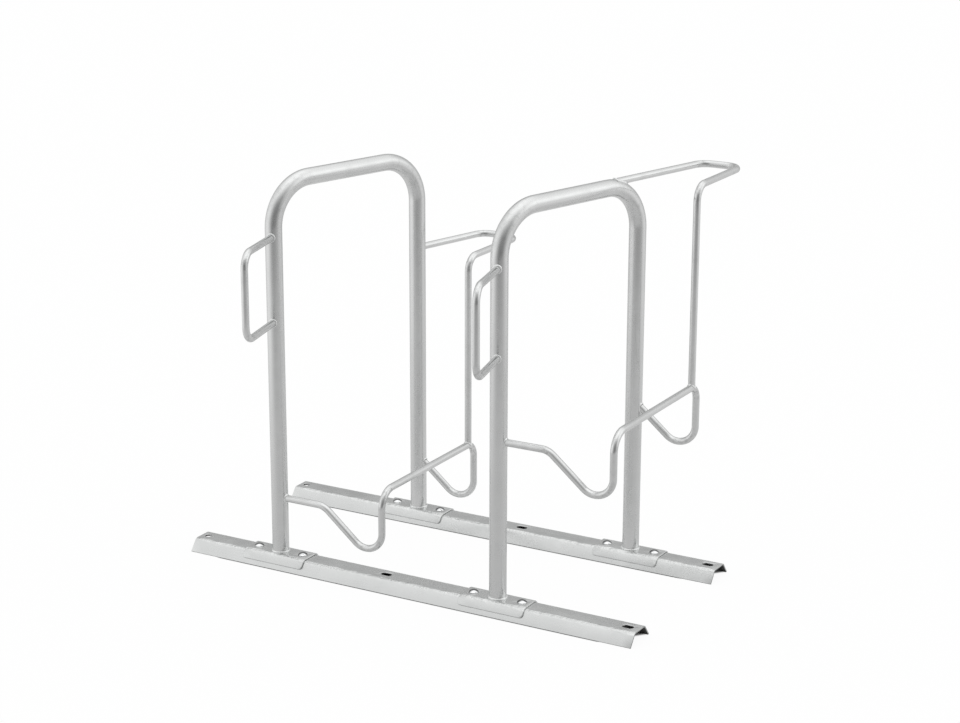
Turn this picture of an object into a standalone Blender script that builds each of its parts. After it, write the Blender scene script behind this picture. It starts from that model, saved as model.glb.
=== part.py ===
"""A freestanding bicycle stand for two bicycles, one held low and one held high.

Two channel rails lie on the floor. Each of two hoops of round tube stands on both rails, on
folded shoes that are bolted over the rails. Every hoop carries a cradle of round bar under the
tyre, a guide loop behind the wheel and a small loop for a lock. Metres, +Z up, the front of the
stand towards -Y, the origin on the floor at the middle of the stand's length and depth. The
dimensions below count from the middle of the rails, and one empty carries everything to there.
"""

import math

import bmesh
import bpy
from mathutils import Vector

# Fits
TOUCH_GAP = 0.0003
BOLT_HOLE_CLEARANCE = 0.0008

# Rails: a channel with a flat top and sides that slope down at one angle
RAIL_LENGTH = 0.996
RAIL_SPACING = 0.363
RAIL_HEIGHT = 0.025
RAIL_TOP_WIDTH = 0.044
RAIL_SIDE_ANGLE = math.radians(52)
RAIL_WALL = 0.003
RAIL_BEND_RADIUS = 0.011
BARE_TOP_MARGIN = 0.001
FLOOR_HOLE_DIAMETER = 0.013
FLOOR_SLOT_LENGTH = 0.023
END_HOLE_INSET = 0.015
END_SLOT_INSET = 0.0245

# Shoes: short folded plates that ride over a rail
SHOE_LENGTH = 0.142
SHOE_DEPTH = 0.0183
SHOE_WALL = 0.003
SHOE_CORNER_RADIUS = 0.0065

# Carriage bolts with their washers and nuts
BOLT_SPACING = 0.1056
BOLT_DIAMETER = 0.008
BOLT_HEAD_DIAMETER = 0.020
BOLT_HEAD_HEIGHT = 0.0049
BOLT_END_LENGTH = 0.0025
WASHER_DIAMETER = 0.016
WASHER_THICKNESS = 0.0016
NUT_WIDTH = 0.013
NUT_HEIGHT = 0.0065

# Hoops of round tube
BAY_SPACING = 0.500
HOOP_SKEW = 0.106
HOOP_HEIGHT = 0.7993
HOOP_BEND_RADIUS = 0.090
TUBE_DIAMETER = 0.0337
TUBE_WALL = 0.0026
FOOT_WELD_SIZE = 0.0020

# Round bar of the cradles, the guides and the lock loops
BAR_DIAMETER = 0.014
GUIDE_BEND_RADIUS = 0.030

# Cradle that carries the tyre
HIGH_BAY_LIFT = 0.200
CRADLE_BEND_RADIUS = 0.037
CRADLE_ARM_HEIGHT = 0.1417
CRADLE_ARM_LENGTH = 0.105
CRADLE_RISER_DISTANCE = 0.2403
CRADLE_TROUGH_CORNER_HEIGHT = 0.0287
CRADLE_TOP_HEIGHT = 0.1934
CRADLE_REAR_BEND_RADIUS = 0.030

# Guide loop behind the wheel
GUIDE_REACH = 0.186
GUIDE_INNER_OFFSET = 0.050
GUIDE_POST_INSET = 0.0235
GUIDE_CROWN_LAP = 0.020

# Loop for a lock on each front leg
LOCK_LOOP_REACH = 0.158
LOCK_LOOP_HEIGHT = 0.1702
LOCK_LOOP_DROP = 0.1225
LOCK_LOOP_TURN = math.radians(13.9)

# Roundness of the solids
TUBE_SIDES = 24
BAR_SIDES = 12
HOLE_SIDES = 16
TUBE_BEND_STEPS = 10
BAR_BEND_STEPS = 6
SHEET_BEND_STEPS = 4
DOME_STEPS = 4
SHARP_ANGLE = math.radians(35)

RAIL_Y = {"front": -RAIL_SPACING / 2, "rear": RAIL_SPACING / 2}
BAY_X = {"left": -BAY_SPACING / 2, "right": BAY_SPACING / 2}
BAY_LIFT = {"left": 0.0, "right": HIGH_BAY_LIFT}
SKEW_SHIFT = {"front": -HOOP_SKEW / 2, "rear": HOOP_SKEW / 2}
SHOE_UNDERSIDE = RAIL_HEIGHT + TOUCH_GAP
SHOE_TOP = SHOE_UNDERSIDE + SHOE_WALL
FOOT_HEIGHT = SHOE_TOP + TOUCH_GAP
HOOP_CROWN = HOOP_HEIGHT - TUBE_DIAMETER / 2


def leg_point(bay, rail, height):
    """A point at one height on the axis of a hoop's leg."""
    return Vector((BAY_X[bay] + SKEW_SHIFT[rail], RAIL_Y[rail], height))


def clear_scene():
    for old in list(bpy.data.objects):
        bpy.data.objects.remove(old, do_unlink=True)


def new_collection(name):
    collection = bpy.data.collections.new(name)
    bpy.context.scene.collection.children.link(collection)
    return collection


def new_material(name, colour, roughness):
    """A plain metal; each piece takes its own."""
    material = bpy.data.materials.new(name)
    material.use_nodes = True
    shader = material.node_tree.nodes["Principled BSDF"]
    shader.inputs["Base Color"].default_value = (*colour, 1.0)
    shader.inputs["Roughness"].default_value = roughness
    shader.inputs["Metallic"].default_value = 1.0
    return material


def galvanised_steel(name):
    return new_material(name + "_zinc", (0.56, 0.58, 0.58), 0.45)


def plated_steel(name):
    return new_material(name + "_plating", (0.66, 0.67, 0.68), 0.28)


def smooth(mesh):
    """Round faces look round and real edges stay sharp."""
    mesh.shade_smooth()
    mesh.set_sharp_from_angle(angle=SHARP_ANGLE)


def add_part(name, mesh, material):
    """A visible sub-part."""
    part = bpy.data.objects.new(name, mesh)
    part.parent = ORIGIN
    mesh.materials.clear()
    mesh.materials.append(material)
    smooth(mesh)
    PARTS.objects.link(part)
    return part


def add_tool(name, data):
    """A hidden shape that cuts a part or is joined to one."""
    tool = bpy.data.objects.new(name, data)
    tool.parent = ORIGIN
    tool.hide_render = True
    tool.display_type = "WIRE"
    TOOLS.objects.link(tool)
    return tool


def evaluated_mesh(source):
    """The mesh of an object with its modifiers or bevel in place; the object is removed."""
    bpy.context.view_layer.update()
    depsgraph = bpy.context.evaluated_depsgraph_get()
    mesh = bpy.data.meshes.new_from_object(source.evaluated_get(depsgraph))
    mesh.transform(source.matrix_basis)
    bpy.data.objects.remove(source, do_unlink=True)
    weld_points(mesh)
    return mesh


def weld_points(mesh):
    shape = bmesh.new()
    shape.from_mesh(mesh)
    bmesh.ops.remove_doubles(shape, verts=shape.verts, dist=1e-6)
    shape.to_mesh(mesh)
    shape.free()


def add_boolean(part, tool, operation):
    modifier = part.modifiers.new(tool.name, "BOOLEAN")
    modifier.operation = operation
    modifier.solver = "EXACT"
    modifier.object = tool


def rounded_path(corners, radii, quarter_steps):
    """The corners of a run, each one rounded to its own radius."""
    points = [corners[0]]
    for index, radius in enumerate(radii, start=1):
        corner = corners[index]
        arriving = (corner - corners[index - 1]).normalized()
        leaving = (corners[index + 1] - corner).normalized()
        turn = arriving.angle(leaving)
        start = corner - arriving * radius * math.tan(turn / 2)
        inward = (leaving - arriving * arriving.dot(leaving)).normalized()
        steps = max(2, math.ceil(quarter_steps * turn / math.radians(90)))
        for step in range(steps + 1):
            angle = turn * step / steps
            along = radius * math.sin(angle)
            across = radius * (1 - math.cos(angle))
            points.append(start + arriving * along + inward * across)
    points.append(corners[-1])
    return points


def poly_curve(name, points, swelling=None):
    """A curve whose one open spline runs through the points, swollen at some of them."""
    curve = bpy.data.curves.new(name, "CURVE")
    curve.dimensions = "3D"
    spline = curve.splines.new("POLY")
    spline.points.add(len(points) - 1)
    for spline_point, point in zip(spline.points, points):
        spline_point.co = (*point, 1.0)
    for index, factor in (swelling or {}).items():
        spline.points[index].radius = factor
    return curve


def round_bar_mesh(name, points, diameter, sides, swelling=None):
    """A bent round bar."""
    curve = poly_curve(name, points, swelling)
    curve.bevel_depth = diameter / 2
    curve.bevel_resolution = (sides - 4) // 2
    curve.use_fill_caps = True
    return evaluated_mesh(add_tool(name, curve))


def folded_sheet_mesh(name, section, length):
    """An open folded surface: a section in the YZ plane carried along X."""
    curve = poly_curve(name, [Vector((y, z, 0.0)) for y, z in section])
    curve.extrude = length / 2
    sheet = add_tool(name, curve)
    sheet.rotation_euler = (math.radians(90), 0.0, math.radians(90))
    return evaluated_mesh(sheet)


def cut_across(mesh, places):
    """The mesh gets edges straight across it at some places along X."""
    shape = bmesh.new()
    shape.from_mesh(mesh)
    for x in places:
        bmesh.ops.bisect_plane(
            shape,
            geom=shape.verts[:] + shape.edges[:] + shape.faces[:],
            plane_co=(x, 0.0, 0.0),
            plane_no=(1.0, 0.0, 0.0),
        )
    shape.to_mesh(mesh)
    shape.free()


def channel_section(offset, lowest):
    """The outline of the rail's outside, moved outwards by an offset, down to a lowest height."""
    top = RAIL_HEIGHT + offset
    half_top = RAIL_TOP_WIDTH / 2 + offset * math.tan(RAIL_SIDE_ANGLE / 2)
    half_foot = half_top + (top - lowest) / math.tan(RAIL_SIDE_ANGLE)
    corners = [
        Vector((-half_foot, lowest, 0.0)),
        Vector((-half_top, top, 0.0)),
        Vector((half_top, top, 0.0)),
        Vector((half_foot, lowest, 0.0)),
    ]
    radius = RAIL_BEND_RADIUS + offset
    path = rounded_path(corners, [radius, radius], 2 * SHEET_BEND_STEPS)
    return [(point.x, point.y) for point in path]


def add_thickness(part, thickness, offset):
    modifier = part.modifiers.new("thickness", "SOLIDIFY")
    modifier.thickness = thickness
    modifier.offset = offset
    modifier.use_even_offset = True
    return modifier


def round_hole_mesh(name, diameter, height, stretch=0.0):
    """A cutter for a round hole, or for a slot that is longer along X by the stretch."""
    shape = bmesh.new()
    bmesh.ops.create_cone(
        shape,
        cap_ends=True,
        segments=HOLE_SIDES,
        radius1=diameter / 2,
        radius2=diameter / 2,
        depth=height,
    )
    half_step = math.pi / HOLE_SIDES
    for vert in shape.verts:
        x, y = vert.co.x, vert.co.y
        vert.co.x = x * math.cos(half_step) - y * math.sin(half_step)
        vert.co.y = x * math.sin(half_step) + y * math.cos(half_step)
        vert.co.x += math.copysign(stretch / 2, vert.co.x)
    mesh = bpy.data.meshes.new(name)
    shape.to_mesh(mesh)
    shape.free()
    return mesh


def box_mesh(name, width, depth, height):
    shape = bmesh.new()
    bmesh.ops.create_cube(shape, size=1.0)
    bmesh.ops.scale(shape, vec=(width, depth, height), verts=shape.verts)
    mesh = bpy.data.meshes.new(name)
    shape.to_mesh(mesh)
    shape.free()
    return mesh


def turned_mesh(name, profile, sides):
    """A turned shape from a profile at +X that runs from its top to its bottom."""
    shape = bmesh.new()
    verts = [shape.verts.new((radius, 0.0, height)) for radius, height in profile]
    for upper, lower in zip(verts, verts[1:]):
        shape.edges.new((upper, lower))
    outline = bpy.data.meshes.new(name)
    shape.to_mesh(outline)
    shape.free()
    turned = add_tool(name, outline)
    screw = turned.modifiers.new("turn", "SCREW")
    screw.steps = sides
    screw.render_steps = sides
    screw.use_merge_vertices = True
    screw.merge_threshold = 1e-5
    return evaluated_mesh(turned)


def bolt_positions(bay, rail):
    """The two bolts of a shoe, one at each side of the leg."""
    leg = leg_point(bay, rail, 0.0)
    return [(leg.x + side * BOLT_SPACING / 2, leg.y) for side in (-1, 1)]


def add_rail(rail):
    """A channel rail with its bolt holes, its middle and end slots and its end hole."""
    lowest = RAIL_WALL * math.cos(RAIL_SIDE_ANGLE)
    mesh = folded_sheet_mesh(rail + "_rail_sheet", channel_section(0.0, lowest), RAIL_LENGTH)
    shoe_reach = SHOE_LENGTH / 2 + BARE_TOP_MARGIN
    for bay in BAY_X:
        leg = leg_point(bay, rail, 0.0)
        cut_across(mesh, [leg.x - shoe_reach, leg.x + shoe_reach])
    part = add_part(rail + "_rail", mesh, galvanised_steel(rail + "_rail"))
    part.location.y = RAIL_Y[rail]
    add_thickness(part, RAIL_WALL, -1.0)
    slot_stretch = FLOOR_SLOT_LENGTH - FLOOR_HOLE_DIAMETER
    holes = [
        ("end_hole", END_HOLE_INSET - RAIL_LENGTH / 2, FLOOR_HOLE_DIAMETER, 0.0),
        ("middle_slot", SKEW_SHIFT[rail], FLOOR_HOLE_DIAMETER, slot_stretch),
        ("end_slot", RAIL_LENGTH / 2 - END_SLOT_INSET, FLOOR_HOLE_DIAMETER, slot_stretch),
    ]
    bolt_hole = BOLT_DIAMETER + BOLT_HOLE_CLEARANCE
    for bay in BAY_X:
        for number, (x, _) in enumerate(bolt_positions(bay, rail), start=1):
            holes.append((f"{bay}_bolt_hole_{number}", x, bolt_hole, 0.0))
    for label, x, diameter, stretch in holes:
        name = f"{rail}_{label}"
        cutter = add_tool(name, round_hole_mesh(name, diameter, 2 * RAIL_HEIGHT, stretch))
        cutter.location = (x, RAIL_Y[rail], RAIL_HEIGHT)
        add_boolean(part, cutter, "DIFFERENCE")


def add_shoe(bay, rail):
    """A folded plate over the rail, with two square holes for the necks of its bolts."""
    name = f"{bay}_{rail}_shoe"
    lowest = SHOE_TOP - SHOE_DEPTH
    section = channel_section(TOUCH_GAP, lowest)
    mesh = folded_sheet_mesh(name + "_sheet", section, SHOE_LENGTH)
    part = add_part(name, mesh, galvanised_steel(name))
    leg = leg_point(bay, rail, 0.0)
    part.location = (leg.x, leg.y, 0.0)
    corners = part.vertex_groups.new(name="corners")
    foot_edge = lowest + TOUCH_GAP
    corners.add([vert.index for vert in mesh.vertices if vert.co.z < foot_edge], 1.0, "REPLACE")
    rounding = part.modifiers.new("rounded_corners", "BEVEL")
    rounding.affect = "VERTICES"
    rounding.limit_method = "VGROUP"
    rounding.vertex_group = corners.name
    rounding.width = SHOE_CORNER_RADIUS
    rounding.segments = SHEET_BEND_STEPS
    add_thickness(part, SHOE_WALL, 1.0)
    hole_width = BOLT_DIAMETER + BOLT_HOLE_CLEARANCE
    for number, (x, y) in enumerate(bolt_positions(bay, rail), start=1):
        cutter_name = f"{name}_square_hole_{number}"
        mesh = box_mesh(cutter_name, hole_width, hole_width, 2 * RAIL_HEIGHT)
        cutter = add_tool(cutter_name, mesh)
        cutter.location = (x, y, SHOE_TOP)
        add_boolean(part, cutter, "DIFFERENCE")


def hoop_path(bay, foot_height):
    corners = [
        leg_point(bay, "front", foot_height),
        leg_point(bay, "front", HOOP_CROWN),
        leg_point(bay, "rear", HOOP_CROWN),
        leg_point(bay, "rear", foot_height),
    ]
    return rounded_path(corners, [HOOP_BEND_RADIUS] * 2, TUBE_BEND_STEPS)


def add_hoop(bay):
    """A hoop of tube, open at its feet and swollen there by a ring of weld."""
    name = bay + "_hoop"
    path = hoop_path(bay, FOOT_HEIGHT)
    weld = [(0.0, 1.0), (0.4, 0.8), (1.0, 0.25), (1.2, 0.0)]
    front_foot = [path[0] + Vector((0, 0, rise * FOOT_WELD_SIZE)) for rise, _ in weld]
    rear_foot = [path[-1] + Vector((0, 0, rise * FOOT_WELD_SIZE)) for rise, _ in weld]
    points = front_foot + path[1:-1] + rear_foot[::-1]
    swelling = {}
    for index, (_, share) in enumerate(weld):
        factor = 1 + 2 * share * FOOT_WELD_SIZE / TUBE_DIAMETER
        swelling[index] = factor
        swelling[len(points) - 1 - index] = factor
    mesh = round_bar_mesh(name + "_skin", points, TUBE_DIAMETER, TUBE_SIDES, swelling)
    part = add_part(name, mesh, galvanised_steel(name))
    bore_diameter = TUBE_DIAMETER - 2 * TUBE_WALL
    bore_path = hoop_path(bay, 0.0)
    bore_mesh = round_bar_mesh(name + "_bore", bore_path, bore_diameter, TUBE_SIDES)
    add_boolean(part, add_tool(name + "_bore", bore_mesh), "DIFFERENCE")


def seat_cutter(name, points, diameter, sides):
    """The room that a tube or bar needs in the end of a bar that is welded to it."""
    mesh = round_bar_mesh(name, points, diameter + 2 * TOUCH_GAP, sides)
    return add_tool(name, mesh)


def add_bar(name, corners, radii, seats):
    """A bent round bar whose ends are coped to the tubes or bars that carry it."""
    points = rounded_path(corners, radii, BAR_BEND_STEPS)
    mesh = round_bar_mesh(name + "_bar", points, BAR_DIAMETER, BAR_SIDES)
    part = add_part(name, mesh, galvanised_steel(name))
    for seat in seats:
        add_boolean(part, seat, "DIFFERENCE")
    return points


def cradle_corners(bay):
    """From the front leg out and down into the front trough, back along the top, and home."""
    lift = BAY_LIFT[bay]
    front = leg_point(bay, "front", lift)
    rear = leg_point(bay, "rear", lift)
    riser_x = front.x + CRADLE_RISER_DISTANCE

    def at(x, leg, height):
        return Vector((x, leg.y, leg.z + height))

    return [
        at(front.x, front, CRADLE_ARM_HEIGHT),
        at(front.x + CRADLE_ARM_LENGTH, front, CRADLE_ARM_HEIGHT),
        at(riser_x, front, CRADLE_TROUGH_CORNER_HEIGHT),
        at(riser_x, front, CRADLE_TOP_HEIGHT),
        at(riser_x, rear, CRADLE_TOP_HEIGHT),
        at(riser_x, rear, CRADLE_TROUGH_CORNER_HEIGHT),
        at(rear.x, rear, CRADLE_ARM_HEIGHT),
    ]


def guide_corners(bay):
    """From the hoop back past the wheel, across behind it, forward, and down to the cradle."""
    height = HOOP_HEIGHT - BAR_DIAMETER / 2 - HIGH_BAY_LIFT + BAY_LIFT[bay]
    rear = leg_point(bay, "rear", height)
    riser_x = leg_point(bay, "front", height).x + CRADLE_RISER_DISTANCE
    inner = rear + Vector((GUIDE_INNER_OFFSET, GUIDE_REACH, 0.0))
    start = rear.copy()
    if height > HOOP_CROWN - HOOP_BEND_RADIUS:
        inward = (rear - inner).normalized()
        start += inward * (HOOP_BEND_RADIUS - GUIDE_CROWN_LAP)
    post_y = rear.y - GUIDE_POST_INSET
    return [
        start,
        inner,
        Vector((riser_x, inner.y, height)),
        Vector((riser_x, post_y, height)),
        Vector((riser_x, post_y, CRADLE_TOP_HEIGHT + BAY_LIFT[bay])),
    ]


def lock_loop_corners(bay):
    """Two level arms from the front leg, joined by an upright bar."""
    top = HOOP_HEIGHT - LOCK_LOOP_DROP
    turn = LOCK_LOOP_TURN
    outward = Vector((math.sin(turn), -math.cos(turn), 0.0)) * LOCK_LOOP_REACH
    upper = leg_point(bay, "front", top)
    lower = leg_point(bay, "front", top - LOCK_LOOP_HEIGHT)
    return [upper, upper + outward, lower + outward, lower]


def add_bay_bars(bay):
    """The cradle, the guide loop and the lock loop of one hoop."""
    hoop_points = hoop_path(bay, FOOT_HEIGHT)
    hoop_seat = seat_cutter(bay + "_hoop_seat", hoop_points, TUBE_DIAMETER, TUBE_SIDES)
    cradle_radii = [CRADLE_BEND_RADIUS] * 3 + [CRADLE_REAR_BEND_RADIUS, CRADLE_BEND_RADIUS]
    cradle_points = add_bar(bay + "_wheel_cradle", cradle_corners(bay), cradle_radii, [hoop_seat])
    cradle_seat = seat_cutter(bay + "_cradle_seat", cradle_points, BAR_DIAMETER, BAR_SIDES)
    guide_radii = [GUIDE_BEND_RADIUS] * 3
    add_bar(bay + "_tyre_guide", guide_corners(bay), guide_radii, [hoop_seat, cradle_seat])
    add_bar(bay + "_lock_loop", lock_loop_corners(bay), [GUIDE_BEND_RADIUS] * 2, [hoop_seat])


def washer_top():
    return RAIL_HEIGHT - RAIL_WALL - TOUCH_GAP


def nut_top():
    return washer_top() - WASHER_THICKNESS - TOUCH_GAP


def bolt_mesh():
    """A carriage bolt: a domed head, a square neck as thick as the shoe and a round shank."""
    head_base = SHOE_TOP + TOUCH_GAP
    radius = BOLT_HEAD_DIAMETER / 2
    end = nut_top() - NUT_HEIGHT - BOLT_END_LENGTH
    dome_radius = (radius**2 + BOLT_HEAD_HEIGHT**2) / (2 * BOLT_HEAD_HEIGHT)
    centre = head_base + BOLT_HEAD_HEIGHT - dome_radius
    profile = []
    for step in range(DOME_STEPS + 1):
        angle = math.asin(radius / dome_radius) * step / DOME_STEPS
        profile.append((dome_radius * math.sin(angle), centre + dome_radius * math.cos(angle)))
    profile += [(BOLT_DIAMETER / 2, head_base), (BOLT_DIAMETER / 2, end), (0.0, end)]
    turned = add_tool("bolt_blank", turned_mesh("bolt_turning", profile, HOLE_SIDES))
    neck_top = head_base + BOLT_HEAD_HEIGHT / 2
    neck_height = neck_top - SHOE_UNDERSIDE
    neck = add_tool("bolt_neck", box_mesh("bolt_neck", BOLT_DIAMETER, BOLT_DIAMETER, neck_height))
    neck.location.z = SHOE_UNDERSIDE + neck_height / 2
    add_boolean(turned, neck, "UNION")
    mesh = evaluated_mesh(turned)
    bpy.data.objects.remove(neck, do_unlink=True)
    return mesh


def bored_mesh(name, sides, diameter, top, height):
    """A round or hexagonal plate, bored for the bolt."""
    shape = bmesh.new()
    bmesh.ops.create_cone(
        shape,
        cap_ends=True,
        segments=sides,
        radius1=diameter / 2,
        radius2=diameter / 2,
        depth=height,
    )
    bmesh.ops.translate(shape, vec=(0.0, 0.0, top - height / 2), verts=shape.verts)
    mesh = bpy.data.meshes.new(name + "_blank")
    shape.to_mesh(mesh)
    shape.free()
    blank = add_tool(name + "_blank", mesh)
    bore_diameter = BOLT_DIAMETER + BOLT_HOLE_CLEARANCE
    bore = add_tool(name + "_bore", round_hole_mesh(name + "_bore", bore_diameter, 4 * height))
    bore.location.z = top
    add_boolean(blank, bore, "DIFFERENCE")
    bored = evaluated_mesh(blank)
    bpy.data.objects.remove(bore, do_unlink=True)
    return bored


def add_fasteners():
    """Two bolts in each shoe, each with a washer and a nut inside the rail."""
    nut_corner_width = NUT_WIDTH / math.cos(math.radians(30))
    meshes = {
        "carriage_bolt": bolt_mesh(),
        "washer": bored_mesh("washer", HOLE_SIDES, WASHER_DIAMETER, washer_top(), WASHER_THICKNESS),
        "nut": bored_mesh("nut", 6, nut_corner_width, nut_top(), NUT_HEIGHT),
    }
    for kind, mesh in meshes.items():
        material = plated_steel(kind)
        for bay in BAY_X:
            for rail in RAIL_Y:
                for number, (x, y) in enumerate(bolt_positions(bay, rail), start=1):
                    part = add_part(f"{bay}_{rail}_{kind}_{number}", mesh, material)
                    part.location = (x, y, 0.0)


def add_origin():
    """The empty that carries the stand, moved so that its length and depth are centred."""
    rearmost = RAIL_Y["rear"] + GUIDE_REACH
    foremost = RAIL_Y["front"] - LOCK_LOOP_REACH * math.cos(LOCK_LOOP_TURN)
    origin = bpy.data.objects.new("stand_origin", None)
    origin.location.y = -(rearmost + foremost) / 2
    PARTS.objects.link(origin)
    return origin


def build_stand():
    for rail in RAIL_Y:
        add_rail(rail)
    for bay in BAY_X:
        for rail in RAIL_Y:
            add_shoe(bay, rail)
        add_hoop(bay)
        add_bay_bars(bay)
    add_fasteners()


clear_scene()
PARTS = new_collection("bicycle_stand")
TOOLS = new_collection("cutting_tools")
ORIGIN = add_origin()
build_stand()
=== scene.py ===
"""The looks of a freestanding bicycle stand of galvanised steel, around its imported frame.

Metres, +Z up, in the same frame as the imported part. The front of the stand is towards -Y.
"""

import math
import random

import bmesh
import bpy
from mathutils import Matrix, Vector, noise


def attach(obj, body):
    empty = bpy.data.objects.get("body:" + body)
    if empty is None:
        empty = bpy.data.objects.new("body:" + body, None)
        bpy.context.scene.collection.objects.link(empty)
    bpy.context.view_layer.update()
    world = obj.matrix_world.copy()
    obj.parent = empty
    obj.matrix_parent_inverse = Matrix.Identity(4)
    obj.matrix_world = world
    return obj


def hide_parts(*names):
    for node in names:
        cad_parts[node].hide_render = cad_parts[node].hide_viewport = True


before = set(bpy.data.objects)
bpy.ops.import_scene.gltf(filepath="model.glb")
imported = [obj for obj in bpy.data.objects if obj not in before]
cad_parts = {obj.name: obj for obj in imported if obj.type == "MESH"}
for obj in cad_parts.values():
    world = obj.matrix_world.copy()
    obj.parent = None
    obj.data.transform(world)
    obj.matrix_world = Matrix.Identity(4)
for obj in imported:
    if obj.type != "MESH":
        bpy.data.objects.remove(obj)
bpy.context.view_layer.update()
random.seed(7)

# The stand's own dimensions, as in its solids
TOUCH_GAP = 0.0003
RAIL_LENGTH = 0.996
RAIL_SPACING = 0.363
RAIL_HEIGHT = 0.025
RAIL_TOP_WIDTH = 0.044
RAIL_SIDE_ANGLE = math.radians(52)
RAIL_WALL = 0.003
RAIL_BEND_RADIUS = 0.011
FLOOR_HOLE_DIAMETER = 0.013
FLOOR_SLOT_LENGTH = 0.023
END_HOLE_INSET = 0.015
END_SLOT_INSET = 0.0245
SHOE_LENGTH = 0.142
SHOE_DEPTH = 0.0183
SHOE_WALL = 0.003
SHOE_CORNER_RADIUS = 0.0065
BOLT_SPACING = 0.1056
BOLT_DIAMETER = 0.008
BOLT_HOLE_CLEARANCE = 0.0008
BOLT_HEAD_DIAMETER = 0.020
BOLT_HEAD_HEIGHT = 0.0049
BOLT_END_LENGTH = 0.0025
WASHER_DIAMETER = 0.016
WASHER_THICKNESS = 0.0016
NUT_WIDTH = 0.013
NUT_HEIGHT = 0.0065
BAY_SPACING = 0.500
HOOP_SKEW = 0.106
HOOP_HEIGHT = 0.7993
HOOP_BEND_RADIUS = 0.090
TUBE_DIAMETER = 0.0337
TUBE_WALL = 0.0026
BAR_DIAMETER = 0.014
GUIDE_BEND_RADIUS = 0.030
HIGH_BAY_LIFT = 0.200
CRADLE_BEND_RADIUS = 0.037
CRADLE_ARM_HEIGHT = 0.1417
CRADLE_ARM_LENGTH = 0.105
CRADLE_RISER_DISTANCE = 0.2403
CRADLE_TROUGH_CORNER_HEIGHT = 0.0287
CRADLE_TOP_HEIGHT = 0.1934
CRADLE_REAR_BEND_RADIUS = 0.030
GUIDE_REACH = 0.186
GUIDE_INNER_OFFSET = 0.050
GUIDE_POST_INSET = 0.0235
GUIDE_CROWN_LAP = 0.020
LOCK_LOOP_REACH = 0.158
LOCK_LOOP_HEIGHT = 0.1702
LOCK_LOOP_DROP = 0.1225
LOCK_LOOP_TURN = math.radians(13.9)

# Details that only the looks have
BAR_END_DEPTH = 0.0019
POST_END_DEPTH = 0.004
WELD_STAND_OFF = 0.0003
FOOT_WELD_RADIUS = 0.0020
FOOT_WELD_LIFT = 0.0006
FOOT_WELD_RIPPLE = 0.0040
BAR_WELD_RADIUS = 0.0019
LARGE_WELD_RADIUS = 0.0021
POST_WELD_RADIUS = 0.0017
BAR_WELD_RIPPLE = 0.0030
WELD_RIPPLE_SHARE = 0.14
WELD_SWELL_SHARE = 0.22
WELD_SWELL_SCALE = 140
RAIL_EDGE_SOFTNESS = 0.0006
SHOE_EDGE_SOFTNESS = 0.0010
WASHER_EDGE_SOFTNESS = 0.00025
HEAD_RIM_STEP = 0.0001
THREAD_PITCH = 0.00125
BOLT_TIP_LENGTH = 0.0006
# The share of painted shade on a rail's inner skin
INSIDE_SHADE_SHARE = 0.65
# The bolt's radii under its head, as shares of half its diameter
NECK_TOP_SHARE = 1.30
NECK_FOOT_SHARE = 0.97
THREAD_CREST_SHARE = 0.995
THREAD_ROOT_SHARE = 0.86
BOLT_TIP_SHARE = 0.84
# The arc of painted shade on a bolt's head, near its outline on the side towards the camera: the way to its
# middle, and the two edges where it fades, as a share of the dome's radius and as a height along that way
SHADED_ARC_AXIS = Vector((0.48, -0.83, 0.29)).normalized()
SHADED_ARC_INNER_EDGE = (0.72, 0.86)
SHADED_ARC_LOWER_EDGE = (-0.0012, 0.0003)

# How finely the shapes are divided
TUBE_SIDES = 64
BAR_SIDES = 36
BEAD_SIDES = 12
HOLE_SIDES = 48
FASTENER_SIDES = 48
TUBE_BEND_STEPS = 28
BAR_BEND_STEPS = 16
SHEET_BEND_STEPS = 8
SHOE_CORNER_STEPS = 8
DOME_STEPS = 14
FOOT_WELD_POINTS = 72
SEAM_POINTS = 60
SEAM_HALVINGS = 22
TUBE_STEP_LENGTH = 0.03
BAR_STEP_LENGTH = 0.02
SHEET_STEP_LENGTH = 0.02

# The floor: the camera sees almost pure white over a pale colour, the stand gets its light from a
# darker colour, and the metal mirrors a grey that slopes a little and ends in the studio's sides
FLOOR_HALF_WIDTH = 30.0
FLOOR_SEEN_WHITE = 0.94
FLOOR_SEEN_COLOUR = 0.96
FLOOR_LIT_COLOUR = 0.50
FLOOR_MIRRORED_SHARE = 0.65
FLOOR_MIRRORED_GREY = 0.81
FLOOR_MIRRORED_SLOPE = 0.10
FLOOR_SLOPE_DIRECTION = (-0.50, 0.87)
FLOOR_MIDDLE = (0.7, -0.35)
FLOOR_NEAR_EDGE = 0.6
FLOOR_FAR_EDGE = 3.4
# The dark floor inside the rails, where its white and grey give way to the floor's own shading: how far past
# their ends it goes, and how much its end slants
# Past the rails' ends the darker floor is painted shade, reaching furthest in what the metal mirrors
DARK_FLOOR_SEEN = {"past_end": 0.004, "slant": 0.8}
DARK_FLOOR_MIRRORED = {"past_end": 0.035, "slant": 0.0}
DARK_FLOOR_SIDE_FADE = 0.003
DARK_FLOOR_END_FADE = 0.012

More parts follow.
